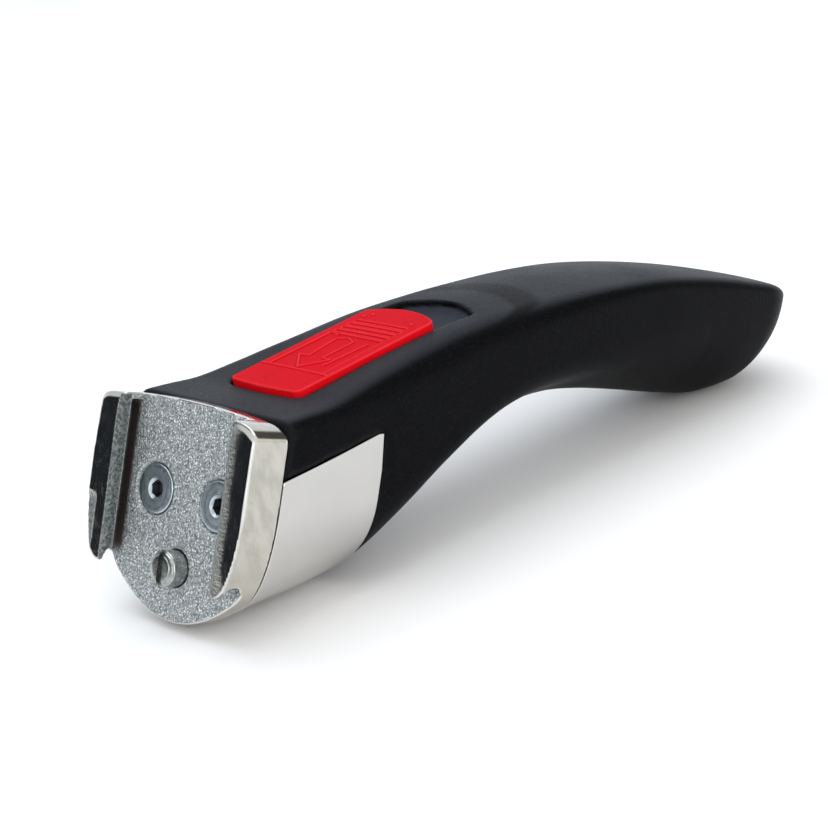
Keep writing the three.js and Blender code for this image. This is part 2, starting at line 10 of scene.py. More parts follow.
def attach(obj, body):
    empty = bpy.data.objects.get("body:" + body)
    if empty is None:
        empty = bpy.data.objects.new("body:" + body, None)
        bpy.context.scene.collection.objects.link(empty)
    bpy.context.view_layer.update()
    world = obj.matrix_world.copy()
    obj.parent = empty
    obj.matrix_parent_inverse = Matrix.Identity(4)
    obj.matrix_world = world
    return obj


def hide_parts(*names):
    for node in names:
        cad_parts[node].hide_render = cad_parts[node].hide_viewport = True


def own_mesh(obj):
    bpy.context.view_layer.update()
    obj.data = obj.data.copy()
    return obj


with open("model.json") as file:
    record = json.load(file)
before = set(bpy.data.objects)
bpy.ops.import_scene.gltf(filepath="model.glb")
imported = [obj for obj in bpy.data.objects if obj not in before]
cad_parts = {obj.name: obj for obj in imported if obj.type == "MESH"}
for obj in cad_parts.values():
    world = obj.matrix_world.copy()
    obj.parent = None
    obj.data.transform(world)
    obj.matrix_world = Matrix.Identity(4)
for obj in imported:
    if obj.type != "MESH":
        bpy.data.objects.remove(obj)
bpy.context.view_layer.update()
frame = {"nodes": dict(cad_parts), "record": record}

# ---------------------------------------------------------------------------------------------
# The head's own frame: millimetres, x away from the pan and square to the plate, y across,
# z up the plate from the height of its two screws. HEAD carries it into the row frame, in metres.
# ---------------------------------------------------------------------------------------------
MM = 0.001
QUARTER_ARC = 0.5523  # handle length, per radius, of the cubic curve that follows a quarter circle
MOUNT_Z = 7.5  # the bracket mount's height up the plate
mount = next(m for m in frame["record"]["mounts"] if m["name"] == "bracket_face")
along_x = -Vector(mount["axis"]).normalized()
along_z = along_x.cross(Vector((0, 1, 0))).normalized()
origin = Vector(mount["pos_m"]) - along_z * MOUNT_Z * MM
HEAD = Matrix.Translation(origin) @ Matrix((along_x, Vector((0, 1, 0)), along_z)).transposed().to_4x4()
HEAD_MM = HEAD @ Matrix.Scale(MM, 4)
HEAD_TILT = math.atan2(along_z.x, along_z.z)

# head casting
HALF_WIDTH_HEAD = 21.6
HEAD_TOP = 17.9
HEAD_CROWN = 0.9  # how much lower the top edge is beside the rounded corners
# width and height of the head's upper corners
HEAD_CORNER = dict(top_round=5, top_drop=3.3)
FAR_CORNER = dict(top_round=2.6, top_drop=1.9)  # the far rail's corner is less worn
HEAD_BOTTOM = -23.7
PLATE = 3.4
RAIL_FRONT = -5.4
LIP = 2.6
LIP_INNER = 15.1
GROOVE_WALL = 18.6
TOP_EDGE_R = 1.2  # rounding of the lips' upper front edge
LIP_EDGE_R = 0.9  # rounding of the lips' inner front edge
GROOVE_TOP = 16

# fixings and latch
SCREW_Y = 8.7
SOCKET_ACROSS = 3.0
ROD_Y = 7.5
ROD_Z = -10.5
ROD_HOLE_R = 1.8
PIN_Z = -13.45
PIN_R = 3.45
PIN_TIP = -3.8
PIN_TRAVEL = 5.02
PIN_TAIL_R = 1.9
BUSH_BORE_R = 5.5
INSERT_BORE_R = 3.7
FOOT_FRONT = 9.3  # of the carriage
FOOT_REAR = 13.0

# sizes of the fine meshes' quads
GRIP_VOXEL = 0.6
HEAD_VOXEL = 0.27
BUTTON_VOXEL = 0.17

# button, in the sloped frame: s along the slide, h square to it
SLOPE = math.radians(24)
BUTTON = dict(s0=23.5, s1=63.0, half=9.5, bow0=0.7, bow1=2.6, r=1.6)
BUTTON_TOP = 13.7
BUTTON_SCREWS = (28.5, 43.5)
STROKE = 0.16  # half the width of a raised line
POCKET = dict(s0=23.15, s1=74.8, half=9.85, bow0=0.7, bow1=3.4, r=1.8)
POCKET_FLOOR = 9.4

# cover and grip
GAP = 0.3  # between neighbouring pieces
FRONT = PLATE + GAP  # where the grip begins
COVER_T = 0.9
COVER_REAR = 31.2
COVER_EDGE_FRONT = (3.8, 6.9)
COVER_CORNER = (30.3, 16.3)
COVER_CORNER_LOW = 9
COVER_SCREW_X = 25
COVER_SCREW_TILT = math.atan2(-3.5, 10)  # the underside's slope there
BODY_END = 182.8
TAIL_START = 165
TAIL_TIP = 52.9
TOP_LINE = [
    (3.4, 17.6), (9, 19.1), (16, 21), (24, 24.5), (34, 29.1), (52, 36.8), (66, 41.7), (80, 45.9),
    (100, 51), (120, 54.8), (140, 56.8), (160, 57.4), (190, 57),
]
BOTTOM_LINE = [
    (3.4, -23.7), (12, -21.1), (22, -18.3), (32, -14.6), (42, -6.8), (52, 2.4), (62, 10.3), (72, 16.2),
    (84, 20.8), (98, 24.2), (112, 25.6), (128, 26), (145, 26.1), (158, 27.2), (190, 36.2),
]
WIDTH_LINE = [(3.4, 21.6), (16, 20.9), (30, 20), (60, 19.1), (95, 18.9), (130, 19.2), (155, 19.3), (190, 19)]


# ---------------------------------------------------------------------------------------------
# small maths
# ---------------------------------------------------------------------------------------------
def lerp(a, b, t):
    return a + (b - a) * t


def smooth(x, a, b):
    """0 before a, 1 after b, smooth in between; a may be greater than b. Works on arrays."""
    t = np.clip((x - a) / (b - a), 0, 1)
    return t * t * (3 - 2 * t)


def polyline_distance(u, v, path):
    """Distance of each point (u, v) from a polyline."""
    p = np.stack([u, v], 1)
    path = np.array(path, float)
    best = np.full(len(p), 1e9)
    for a, b in zip(path[:-1], path[1:], strict=True):
        d = b - a
        t = np.clip(((p - a) @ d) / (d @ d), 0, 1)
        best = np.minimum(best, np.linalg.norm(p - a - t[:, None] * d, axis=1))
    return best


def curve_at(stations, x):
    """Smooth curve through (x, value) stations."""
    n = len(stations)

    def slope_at(i):
        (xa, ya), (xb, yb) = stations[max(i - 1, 0)], stations[min(i + 1, n - 1)]
        return (yb - ya) / (xb - xa)

    i = 0
    while i < n - 2 and x > stations[i + 1][0]:
        i += 1
    (x0, y0), (x1, y1) = stations[i], stations[i + 1]
    d = x1 - x0
    t = (x - x0) / d
    return (
        (2 * t**3 - 3 * t**2 + 1) * y0
        + (t**3 - 2 * t**2 + t) * d * slope_at(i)
        + (3 * t**2 - 2 * t**3) * y1
        + (t**3 - t**2) * d * slope_at(i + 1)
    )


def bezier(a, b, c, d, n):
    t = np.linspace(0, 1, n + 1)[:, None]
    a, b, c, d = (np.array(p, float) for p in (a, b, c, d))
    return (1 - t) ** 3 * a + 3 * (1 - t) ** 2 * t * b + 3 * (1 - t) * t**2 * c + t**3 * d


def resample(points, n):
    """n + 1 points spaced evenly along a polyline."""
    points = np.array(points, float)
    run = np.concatenate([[0], np.cumsum(np.linalg.norm(np.diff(points, axis=0), axis=1))])
    at = np.linspace(0, run[-1], n + 1)
    return np.stack([np.interp(at, run, points[:, k]) for k in range(points.shape[1])], 1)


# ---------------------------------------------------------------------------------------------
# the grip's cross section
# ---------------------------------------------------------------------------------------------
def section(x, inset=0.0):
    """Sizes of the grip's cross section at x, drawn in by inset at the sides and the underside."""
    along = float(smooth(x, FRONT, 60))
    tail = float(smooth(x, 95, TAIL_START))
    u = max(0.0, (x - TAIL_START) / (BODY_END - TAIL_START))
    close = math.sqrt(max(0.004, 1 - u * u))
    half = curve_at(WIDTH_LINE, x) * math.sqrt(max(0.02, 1 - u * u)) - inset
    top = lerp(TAIL_TIP, curve_at(TOP_LINE, x), math.sqrt(close))
    bottom = lerp(TAIL_TIP, curve_at(BOTTOM_LINE, x), close) + inset
    crown = 1.2 * float(smooth(x, 20, 120)) * close
    crest = float(smooth(x, FRONT, 45))
    hump = float(smooth(x, 60, 120))
    low_round = min(lerp(5, 11, along) + 5 * tail, 0.88 * half)
    sag = lerp(lerp(0.414, 0.277, along), 0.04, tail) * (half - low_round)
    top_drop = lerp(lerp(3, 6, crest), 3.6, hump)
    low_rise = lerp(19.1, 10, along) + 18.8 * tail
    fit = min(1, 0.94 * (top - bottom) / (top_drop + low_rise + crown + sag))
    return dict(
        half=half, top=top, bottom=bottom, crown=crown * fit, sag=sag * fit,
        top_round=min(lerp(lerp(3, 6.2, crest), 4, hump), 0.6 * half), top_drop=top_drop * fit,
        low_round=low_round, low_rise=low_rise * fit,
    )


def lower_half(s, start_z, n):
    """(y, z) from the side, at start_z or where the lower corner begins, to the middle of the underside."""
    k = QUARTER_ARC
    y_low = s["half"] - s["low_round"]
    low = s["bottom"] + s["sag"]
    side_low = low + s["low_rise"]
    low_slope = 2 * s["sag"] / y_low
    corner = bezier(
        (s["half"], side_low), (s["half"], side_low - k * s["low_rise"]),
        (y_low + k * s["low_round"], low + k * s["low_round"] * low_slope), (y_low, low), n,
    )
    t = np.linspace(1, 0, n // 2 + 1)[1:]
    under = np.stack([y_low * t, s["bottom"] + s["sag"] * t**2], 1)
    head = [] if start_z is None else [[(s["half"], start_z)]]
    return np.concatenate(head + [corner, under])


def half_section(s, n):
    """(y, z) from the middle of the top round the +y side to the middle of the underside."""
    k = QUARTER_ARC
    y_top = s["half"] - s["top_round"]
    shoulder = s["top"] - s["crown"]
    side_top = shoulder - s["top_drop"]
    top_slope = -2 * s["crown"] / y_top
    t = np.linspace(0, 1, n // 2, endpoint=False)
    roof = np.stack([y_top * t, s["top"] - s["crown"] * t**2], 1)
    corner = bezier(
        (y_top, shoulder), (y_top + k * s["top_round"], shoulder + k * s["top_round"] * top_slope),
        (s["half"], side_top + k * s["top_drop"]), (s["half"], side_top), n,
    )
    return np.concatenate([roof, corner, lower_half(s, None, n)])


def ring(s, n):
    """The whole cross section, once round."""
    half = half_section(s, n)
    return np.concatenate([half, half[1:-1][::-1] * (-1, 1)])


# ---------------------------------------------------------------------------------------------
# meshes: everything is drawn in the head's frame and carried over at the end
# ---------------------------------------------------------------------------------------------
def new_object(name, vertices, faces):
    mesh = bpy.data.meshes.new(name)
    mesh.from_pydata([tuple(map(float, v)) for v in vertices], [], [tuple(map(int, f)) for f in faces])
    mesh.update()
    ob = bpy.data.objects.new(name, mesh)
    bpy.context.scene.collection.objects.link(ob)
    return ob


def skin(name, rings):
    """A closed solid through rings of equal length, in order along +x."""
    rings = [np.array(r, float) for r in rings]
    n = len(rings[0])
    faces = []
    for r in range(len(rings) - 1):
        for i in range(n):
            j = (i + 1) % n
            faces.append((r * n + i, r * n + j, (r + 1) * n + j, (r + 1) * n + i))
    last = (len(rings) - 1) * n
    faces.append(tuple(range(n))[::-1])
    faces.append(tuple(range(last, last + n)))
    ob = new_object(name, np.concatenate(rings), faces)
    fix_normals(ob)
    return ob


def fix_normals(ob):
    bm = bmesh.new()
    bm.from_mesh(ob.data)
    bmesh.ops.recalc_face_normals(bm, faces=bm.faces)
    bm.to_mesh(ob.data)
    bm.free()


def loft(name, stations, inset=0.0, n=24):
    """The grip's outside, drawn in by inset, from the first station to the last."""
    rings = []
    for x in stations:
        yz = ring(section(x, inset), n)
        rings.append(np.column_stack([np.full(len(yz), x), yz]))
    return skin(name, rings)


def prism(name, outline, lo, hi, matrix=None):
    """A flat outline of (a, b) points between two heights c; matrix carries (a, b, c) to the head's frame."""
    outline = np.array(outline, float)
    n = len(outline)
    rings = [np.column_stack([outline, np.full(n, h)]) for h in (lo, hi)]
    ob = skin(name, rings)
    if matrix is not None:
        ob.data.transform(matrix)
        fix_normals(ob)
    return ob


AXES_YZ = Matrix(((0, 0, 1, 0), (1, 0, 0, 0), (0, 1, 0, 0), (0, 0, 0, 1)))  # (a, b, c) is (y, z, x)
AXES_XZ = Matrix(((1, 0, 0, 0), (0, 0, 1, 0), (0, 1, 0, 0), (0, 0, 0, 1)))  # (a, b, c) is (x, z, y)
SLOPED = Matrix.Rotation(-SLOPE, 4, "Y")  # (a, b, c) is (s, y, h)


def box(x0, x1, y0, y1, z0, z1):
    return prism("tool", [(x0, y0), (x1, y0), (x1, y1), (x0, y1)], z0, z1)


def turned(name, profile, y=0.0, z=0.0, n=96, matrix=None):
    """A turned solid about an axis along x through (y, z); profile is a list of (x, r) from end to end."""
    a = np.linspace(0, 2 * math.pi, n, endpoint=False)
    rings = [np.column_stack([np.full(n, x), r * np.cos(a), r * np.sin(a)]) for x, r in profile]
    ob = skin(name, rings)
    ob.data.transform(Matrix.Translation((0, y, z)) if matrix is None else matrix)
    fix_normals(ob)
    return ob


def settle(ob):
    """Applies the modifiers of ob to its mesh."""
    bpy.context.view_layer.update()
    shown = ob.evaluated_get(bpy.context.evaluated_depsgraph_get())
    mesh = bpy.data.meshes.new_from_object(shown)
    ob.modifiers.clear()
    ob.data = mesh
    return ob


def combine(ob, *tools):
    """Cuts the tools out of ob and removes them."""
    for tool in tools:
        mod = ob.modifiers.new("combine", "BOOLEAN")
        mod.operation = "DIFFERENCE"
        mod.solver = "MANIFOLD"
        mod.object = tool
        settle(ob)
        bpy.data.objects.remove(tool)
    return ob


def remesh(ob, voxel, soften):
    """Even quads over ob, with its edges rounded a little."""
    mod = ob.modifiers.new("remesh", "REMESH")
    mod.mode = "VOXEL"
    mod.voxel_size = voxel
    mod.use_smooth_shade = True
    settle(ob)
    mod = ob.modifiers.new("soften", "SMOOTH")
    mod.factor = 0.5
    mod.iterations = soften
    return settle(ob)


def points_of(ob):
    co = np.empty(len(ob.data.vertices) * 3)
    ob.data.vertices.foreach_get("co", co)
    return co.reshape(-1, 3)


def normals_of(ob):
    co = np.empty(len(ob.data.vertices) * 3, np.float32)
    ob.data.vertex_normals.foreach_get("vector", co)
    return co.reshape(-1, 3).astype(float)


def set_points(ob, co):
    ob.data.vertices.foreach_set("co", co.ravel())
    ob.data.update()


def store(ob, name, values):
    attribute = ob.data.attributes.get(name) or ob.data.attributes.new(name, "FLOAT", "POINT")
    attribute.data.foreach_set("value", np.asarray(values, np.float32))


def edge_of(ob, spread=3):
    """How convex the surface is at each point, from -1 in a groove to 1 on an edge."""
    co, nrm = points_of(ob), normals_of(ob)
    e = np.empty(len(ob.data.edges) * 2, np.int32)
    ob.data.edges.foreach_get("vertices", e)
    a, b = e.reshape(-1, 2).T
    n = len(co)
    count = np.maximum(np.bincount(a, minlength=n) + np.bincount(b, minlength=n), 1)

    def mean(v):
        return (np.bincount(a, v[b], n) + np.bincount(b, v[a], n)) / count

    centre = np.stack([mean(co[:, k]) for k in range(3)], 1)
    length = np.linalg.norm(co[a] - co[b], axis=1).mean()
    bend = ((co - centre) * nrm).sum(1) / length
    for _ in range(spread):
        bend = 0.5 * bend + 0.5 * mean(bend)
    return np.clip(bend * 9, -1, 1)


def finish_piece(ob, body, nodes, material, angle=None):
    """Carries a piece to the row frame and says what it stands for."""
    ob.data.transform(HEAD_MM)
    ob.data.materials.clear()
    ob.data.materials.append(material)
    ob.data.shade_smooth()
    if angle:
        ob.data.set_sharp_from_angle(angle=math.radians(angle))
    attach(ob, body)
    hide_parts(*nodes)
    return ob


# ---------------------------------------------------------------------------------------------
# materials
# ---------------------------------------------------------------------------------------------
class Look:
    """A node material round one Principled shader; coordinates are millimetres in the row frame."""

    def __init__(self, name, **constants):
        self.material = bpy.data.materials.new(name)
        self.material.use_nodes = True
        self.tree = self.material.node_tree
        self.shader = self.tree.nodes["Principled BSDF"]
        for key, value in constants.items():
            self.shader.inputs[key.replace("_", " ")].default_value = value
        where = self.node("ShaderNodeTexCoord")
        scaled = self.node("ShaderNodeVectorMath", operation="SCALE")
        scaled.inputs["Scale"].default_value = 1 / MM
        self.link(where.outputs["Object"], scaled.inputs[0])
        self.place = scaled.outputs[0]

    def node(self, kind, **settings):
        n = self.tree.nodes.new(kind)
        for key, value in settings.items():
            setattr(n, key, value)
        return n

    def link(self, a, b):
        self.tree.links.new(a, b)

    def feed(self, value, socket):
        if isinstance(value, bpy.types.NodeSocket):
            self.link(value, socket)
        else:
            socket.default_value = value

    def head_place(self, y=0.0, z=0.0):
        """Coordinates in the head's frame, with the x axis through (y, z)."""
        start = HEAD @ Vector((0, y * MM, z * MM)) / MM
        shifted = self.node("ShaderNodeVectorMath", operation="SUBTRACT")
        self.link(self.place, shifted.inputs[0])
        shifted.inputs[1].default_value = start
        turned_back = self.node("ShaderNodeVectorRotate", rotation_type="Y_AXIS")
        turned_back.inputs["Angle"].default_value = HEAD_TILT
        self.link(shifted.outputs[0], turned_back.inputs["Vector"])
        return turned_back.outputs[0]

    def stretch(self, vector, x, y, z):
        n = self.node("ShaderNodeVectorMath", operation="MULTIPLY")
        self.link(vector, n.inputs[0])
        n.inputs[1].default_value = (x, y, z)
        return n.outputs[0]

    def noise(self, scale, detail=3.0, rough=0.55, vector=None):
        n = self.node("ShaderNodeTexNoise")
        self.link(vector or self.place, n.inputs["Vector"])
        n.inputs["Scale"].default_value = scale
        n.inputs["Detail"].default_value = detail
        n.inputs["Roughness"].default_value = rough
        return n.outputs["Fac"]

    def cells(self, scale):
        n = self.node("ShaderNodeTexVoronoi")
        self.link(self.place, n.inputs["Vector"])
        n.inputs["Scale"].default_value = scale
        return n.outputs["Distance"]

    def attribute(self, name):
        return self.node("ShaderNodeAttribute", attribute_name=name).outputs["Fac"]

    def math(self, operation, a, b):
        n = self.node("ShaderNodeMath", operation=operation)
        self.feed(a, n.inputs[0])
        self.feed(b, n.inputs[1])
        return n.outputs[0]

    def span(self, value, a, b, lo=0.0, hi=1.0):
        """value from a..b mapped to lo..hi, clamped."""
        n = self.node("ShaderNodeMapRange", interpolation_type="SMOOTHSTEP")
        self.feed(value, n.inputs["Value"])
        for key, v in (("From Min", a), ("From Max", b), ("To Min", lo), ("To Max", hi)):
            self.feed(v, n.inputs[key])
        return n.outputs["Result"]

    def blend(self, share, a, b):
        """Colours a and b mixed."""
        n = self.node("ShaderNodeMix", data_type="RGBA")
        self.feed(share, n.inputs["Factor"])
        self.feed(a, n.inputs[6])
        self.feed(b, n.inputs[7])
        return n.outputs[2]

    def mix(self, share, a, b):
        n = self.node("ShaderNodeMix", data_type="FLOAT")
        self.feed(share, n.inputs["Factor"])
        self.feed(a, n.inputs[2])
        self.feed(b, n.inputs[3])
        return n.outputs[0]

    def radius(self, vector):
        """Distance from the x axis."""
        flat = self.stretch(vector, 0, 1, 1)
        n = self.node("ShaderNodeVectorMath", operation="LENGTH")
        self.link(flat, n.inputs[0])
        return n.outputs["Value"]

    def bump(self, height, strength, distance=0.0001, normal=None):
        n = self.node("ShaderNodeBump")
        self.feed(strength, n.inputs["Strength"])
        n.inputs["Distance"].default_value = distance
        self.link(height, n.inputs["Height"])
        if normal is not None:
            self.link(normal, n.inputs["Normal"])
        return n.outputs["Normal"]

    def set(self, **sockets):
        for key, value in sockets.items():
            self.feed(value, self.shader.inputs[key.replace("_", " ")])
        return self.material


def black_plastic():
    """Moulded black plastic with a fine spark-eroded grain, a little greyer where hands and edges rub it;
    upward faces carry a painted sheen and the pocket's floor is painted lighter as painted light.
    """
    k = Look("black_grip", Metallic=0.0, IOR=1.45, Specular_IOR_Level=0.04)
    grain = k.noise(2.2, 2, 0.6)
    coarse = k.noise(0.5, 3, 0.5)
    cloud = k.noise(0.045, 3, 0.5)
    rub = k.span(k.attribute("edge"), 0.12, 0.8)
    base = k.blend(cloud, (0.0012, 0.0013, 0.0021, 1), (0.0024, 0.0026, 0.0036, 1))
    # painted light: the pocket's floor is painted a lighter blue-grey
    base = k.blend(k.attribute("floor"), base, (0.026, 0.029, 0.041, 1))
    # painted sheen: faces that face up are painted a lighter blue-grey
    base = k.blend(k.attribute("top"), base, (0.020, 0.022, 0.027, 1))
    flecked = k.blend(k.span(grain, 0.50, 0.74, 0, 0.22), base, (0.026, 0.028, 0.033, 1))
    colour = k.blend(k.math("MULTIPLY", rub, 0.35), flecked, (0.018, 0.019, 0.022, 1))
    gloss = k.math("ADD", k.span(cloud, 0.3, 0.7, 0.36, 0.44), k.math("MULTIPLY", rub, -0.06))
    rough = k.math("ADD", gloss, k.span(grain, 0.35, 0.75, 0.0, 0.10))
    n = k.bump(coarse, 0.10, 0.00025)
    return k.set(Base_Color=colour, Roughness=rough, Normal=k.bump(grain, 0.5, 0.00016, n))


def cast_metal():
    """Zinc casting: a sandy face with painted glints, with the rails and the rim ground and polished; edges
    carry painted highlights, and grooves, hollows and the lips' inner edges painted shade.
    """
    k = Look("cast_head")
    polish = k.attribute("polish")
    rough_share = k.math("SUBTRACT", 1.0, polish)
    sand = k.noise(1.8, 3, 0.6)
    fine = k.noise(2.9, 2, 0.6)
    tint = k.noise(1.1, 2, 0.5, k.stretch(k.place, 1.7, 1.3, 1.5))
    pits = k.cells(1.7)
    cloud = k.noise(0.09, 3, 0.5)
    edge = k.attribute("edge")
    sandy = k.blend(k.span(sand, 0.34, 0.66), (0.105, 0.130, 0.130, 1), (0.42, 0.47, 0.465, 1))
    sandy = k.blend(k.span(tint, 0.35, 0.65, 0, 0.35), sandy, (0.37, 0.40, 0.45, 1))
    # painted glints: white specks in the sandy colour
    sandy = k.blend(k.span(fine, 0.555, 0.63), sandy, (1.0, 1.0, 1.0, 1))
    sandy = k.blend(k.span(pits, 0.20, 0.03, 0, 0.8), sandy, (0.055, 0.062, 0.062, 1))
    smear = k.noise(0.33, 4, 0.6, k.stretch(k.head_place(), 1, 1, 0.5))
    bright = k.blend(k.span(smear, 0.3, 0.7), (0.44, 0.425, 0.375, 1), (0.58, 0.56, 0.505, 1))
    bright = k.blend(k.span(cloud, 0.4, 0.7, 0, 0.4), bright, (0.60, 0.575, 0.52, 1))
    # convex edges painted near white: worn bright metal and a painted highlight
    worn = k.blend(k.span(edge, 0.2, 0.8, 0, 0.5), k.blend(polish, sandy, bright), (0.86, 0.88, 0.89, 1))
    # the dull colour: painted shade on the lips' inner edges, and the colour of the worn foot of the far lip
    dull_and_shade = k.blend(k.span(sand, 0.36, 0.64), (0.064, 0.075, 0.073, 1), (0.215, 0.245, 0.237, 1))
    worn = k.blend(k.attribute("dull_and_shade"), worn, dull_and_shade)
    # painted shade: the grooves are painted dark brown
    groove_shade = k.blend(k.attribute("shade"), worn, (0.050, 0.038, 0.034, 1))
    # painted shade: hollows and creases painted dark grey
    colour = k.blend(k.span(edge, -0.15, -0.8, 0, 0.6), groove_shade, (0.10, 0.10, 0.095, 1))
    scuff = k.noise(0.9, 4, 0.6, k.stretch(k.head_place(), 1, 1, 0.12))
    sandy_rough = k.span(fine, 0.3, 0.7, 0.34, 0.50)
    bright_rough = k.span(scuff, 0.35, 0.75, 0.05, 0.14)
    rough = k.mix(polish, sandy_rough, bright_rough)
    n = k.bump(sand, k.math("MULTIPLY", rough_share, 0.9), 0.00055)
    n = k.bump(fine, k.math("MULTIPLY", rough_share, 0.8), 0.00022, n)
    n = k.bump(k.noise(0.13, 2, 0.5), 0.07, 0.0006, n)
    metal = k.mix(polish, 0.42, 1.0)
    return k.set(Base_Color=colour, Roughness=rough, Metallic=metal, Normal=n)


def polished_steel():
    """Polished sheet, with faint lengthwise polishing lines and smears."""
    k = Look("polished_steel", Metallic=1.0)
    lines = k.noise(1.0, 4, 0.65, k.stretch(k.head_place(), 0.09, 3.2, 3.2))
    smear = k.noise(0.12, 3, 0.55)
    colour = k.blend(smear, (0.56, 0.548, 0.53, 1), (0.63, 0.616, 0.597, 1))
    gloss = k.math("ADD", k.span(lines, 0.3, 0.75, 0.05, 0.12), k.span(smear, 0.35, 0.7, 0, 0.05))
    n = k.bump(lines, 0.07, 0.00004)
    return k.set(Base_Color=colour, Roughness=gloss, Normal=k.bump(k.noise(0.07, 2, 0.5), 0.03, 0.0006, n))


def turned_metal(name, y, z, colour_a, colour_b, rough, ring_scale):
    """Turned and plated metal: fine rings about the x axis through (y, z), and stains."""
    k = Look(name, Metallic=1.0)
    at = k.head_place(y, z)
    rings = k.node("ShaderNodeTexNoise", noise_dimensions="1D")
    k.link(k.radius(at), rings.inputs["W"])
    rings.inputs["Scale"].default_value = ring_scale
    rings.inputs["Detail"].default_value = 4
    rings.inputs["Roughness"].default_value = 0.7
    ringed = rings.outputs["Fac"]
    stain = k.noise(0.7, 4, 0.6)
    colour = k.blend(k.span(stain, 0.35, 0.7), colour_a, colour_b)
    colour = k.blend(k.span(ringed, 0.55, 0.75, 0, 0.3), colour, (0.80, 0.83, 0.86, 1))
    # painted shade where the shade attribute is set, inside the screws' hex sockets
    colour = k.blend(k.attribute("shade"), colour, (0.045, 0.042, 0.042, 1))
    gloss = k.math("ADD", k.span(ringed, 0.3, 0.7, rough[0], rough[1]), k.span(stain, 0.5, 0.8, 0, 0.08))
    n = k.bump(ringed, 0.22, 0.00005)
    return k.set(Base_Color=colour, Roughness=gloss, Normal=k.bump(k.noise(4, 2, 0.5), 0.12, 0.00004, n))


def red_plastic():
    """Satin red plastic with a fine grain; the top face is painted darker than the flanks as painted shade,
    edges carry a painted highlight and creases painted shade.
    """
    k = Look("red_plastic", Metallic=0.0, IOR=1.45, Specular_IOR_Level=0.04)
    grain = k.noise(2.7, 3, 0.6)
    cloud = k.noise(0.12, 3, 0.5)
    edge = k.attribute("edge")
    top = k.attribute("top")
    # painted light and shade: the flanks are painted bright red and the top face darker, one red lit two ways
    flank = k.blend(cloud, (0.82, 0.003, 0.008, 1), (0.92, 0.005, 0.012, 1))
    face = k.blend(cloud, (0.50, 0.002, 0.009, 1), (0.60, 0.004, 0.014, 1))
    base = k.blend(top, flank, face)
    base = k.blend(k.span(grain, 0.52, 0.74, 0, 0.4), base, (0.86, 0.012, 0.022, 1))
    # painted highlight: convex edges painted a brighter red
    base = k.blend(k.span(edge, 0.10, 0.7, 0, 0.45), base, (0.95, 0.05, 0.06, 1))
    # painted shade: hollows and creases painted dark red
    colour = k.blend(k.span(edge, -0.08, -0.6, 0, 0.45), base, (0.26, 0.002, 0.006, 1))
    rough = k.math("ADD", k.span(grain, 0.3, 0.7, 0.56, 0.68), k.span(cloud, 0.4, 0.7, 0.0, 0.05))
    n = k.bump(k.noise(0.5, 2, 0.5), 0.06, 0.0003)
    return k.set(Base_Color=colour, Roughness=rough, Normal=k.bump(grain, 0.6, 0.00018, n))


def plain_metal(name, colour_a, colour_b, rough, scale=0.8, metallic=1.0):
    """Inner metal and plastic pieces: stains, grain and a little relief."""
    k = Look(name, Metallic=metallic)
    stain = k.noise(scale, 4, 0.6)
    fine = k.noise(scale * 5, 3, 0.6)
    colour = k.blend(k.span(stain, 0.3, 0.7), colour_a, colour_b)
    gloss = k.span(fine, 0.3, 0.7, rough[0], rough[1])
    n = k.bump(stain, 0.12, 0.0002)
    return k.set(Base_Color=colour, Roughness=gloss, Normal=k.bump(fine, 0.25, 0.00008, n))


# ---------------------------------------------------------------------------------------------
# grip
# ---------------------------------------------------------------------------------------------
def button_plan(s0, s1, half, bow0, bow1, r, n=14):
    """Plan outline in (s, y): bowed front and rear edges, straight sides, rounded corners."""
    def quad(a, b, c):
        t = np.linspace(0, 1, n + 1)[1:, None]
        a, b, c = (np.array(p, float) for p in (a, b, c))
        return (1 - t) ** 2 * a + 2 * (1 - t) * t * b + t**2 * c

    pts = [[(s0 + r, -half), (s1 - r, -half)]]
    for a, b, c in (
        ((s1 - r, -half), (s1, -half), (s1 + 0.35 * r, -half + r)),
        ((s1 + 0.35 * r, -half + r), (s1 + 2 * bow1 - 0.35 * r, 0), (s1 + 0.35 * r, half - r)),
        ((s1 + 0.35 * r, half - r), (s1, half), (s1 - r, half)),
    ):
        pts.append(quad(a, b, c))
    pts.append([(s0 + r, half)])
    for a, b, c in (
        ((s0 + r, half), (s0, half), (s0 - 0.1 * r, half - r)),
        ((s0 - 0.1 * r, half - r), (s0 - 2 * bow0 + 0.1 * r, 0), (s0 - 0.1 * r, -half + r)),
        ((s0 - 0.1 * r, -half + r), (s0, -half), (s0 + r, -half)),
    ):
        pts.append(quad(a, b, c))
    return np.concatenate(pts)[:-1]


def cover_side(grow, front):
    """Side outline of the belly cover in (x, z)."""
    (x0, z0), (x1, z1) = COVER_EDGE_FRONT, COVER_CORNER
    rise = (z1 - z0) / (x1 - x0)
    rear, corner = COVER_REAR + grow, x1 + grow

    def top_at(x):
        return z0 + rise * (x - x0) + grow * math.hypot(1, rise)

    return [
        (front, -40), (rear, -40), (rear, COVER_CORNER_LOW), (corner, top_at(corner)), (front, top_at(front)),
    ]


def grip_stations():
    xs = list(np.arange(FRONT, TAIL_START - 0.5, 1.0))
    xs += [TAIL_START + (BODY_END - TAIL_START) * math.sin(i / 26 * math.pi / 2) for i in range(27)]
    return xs


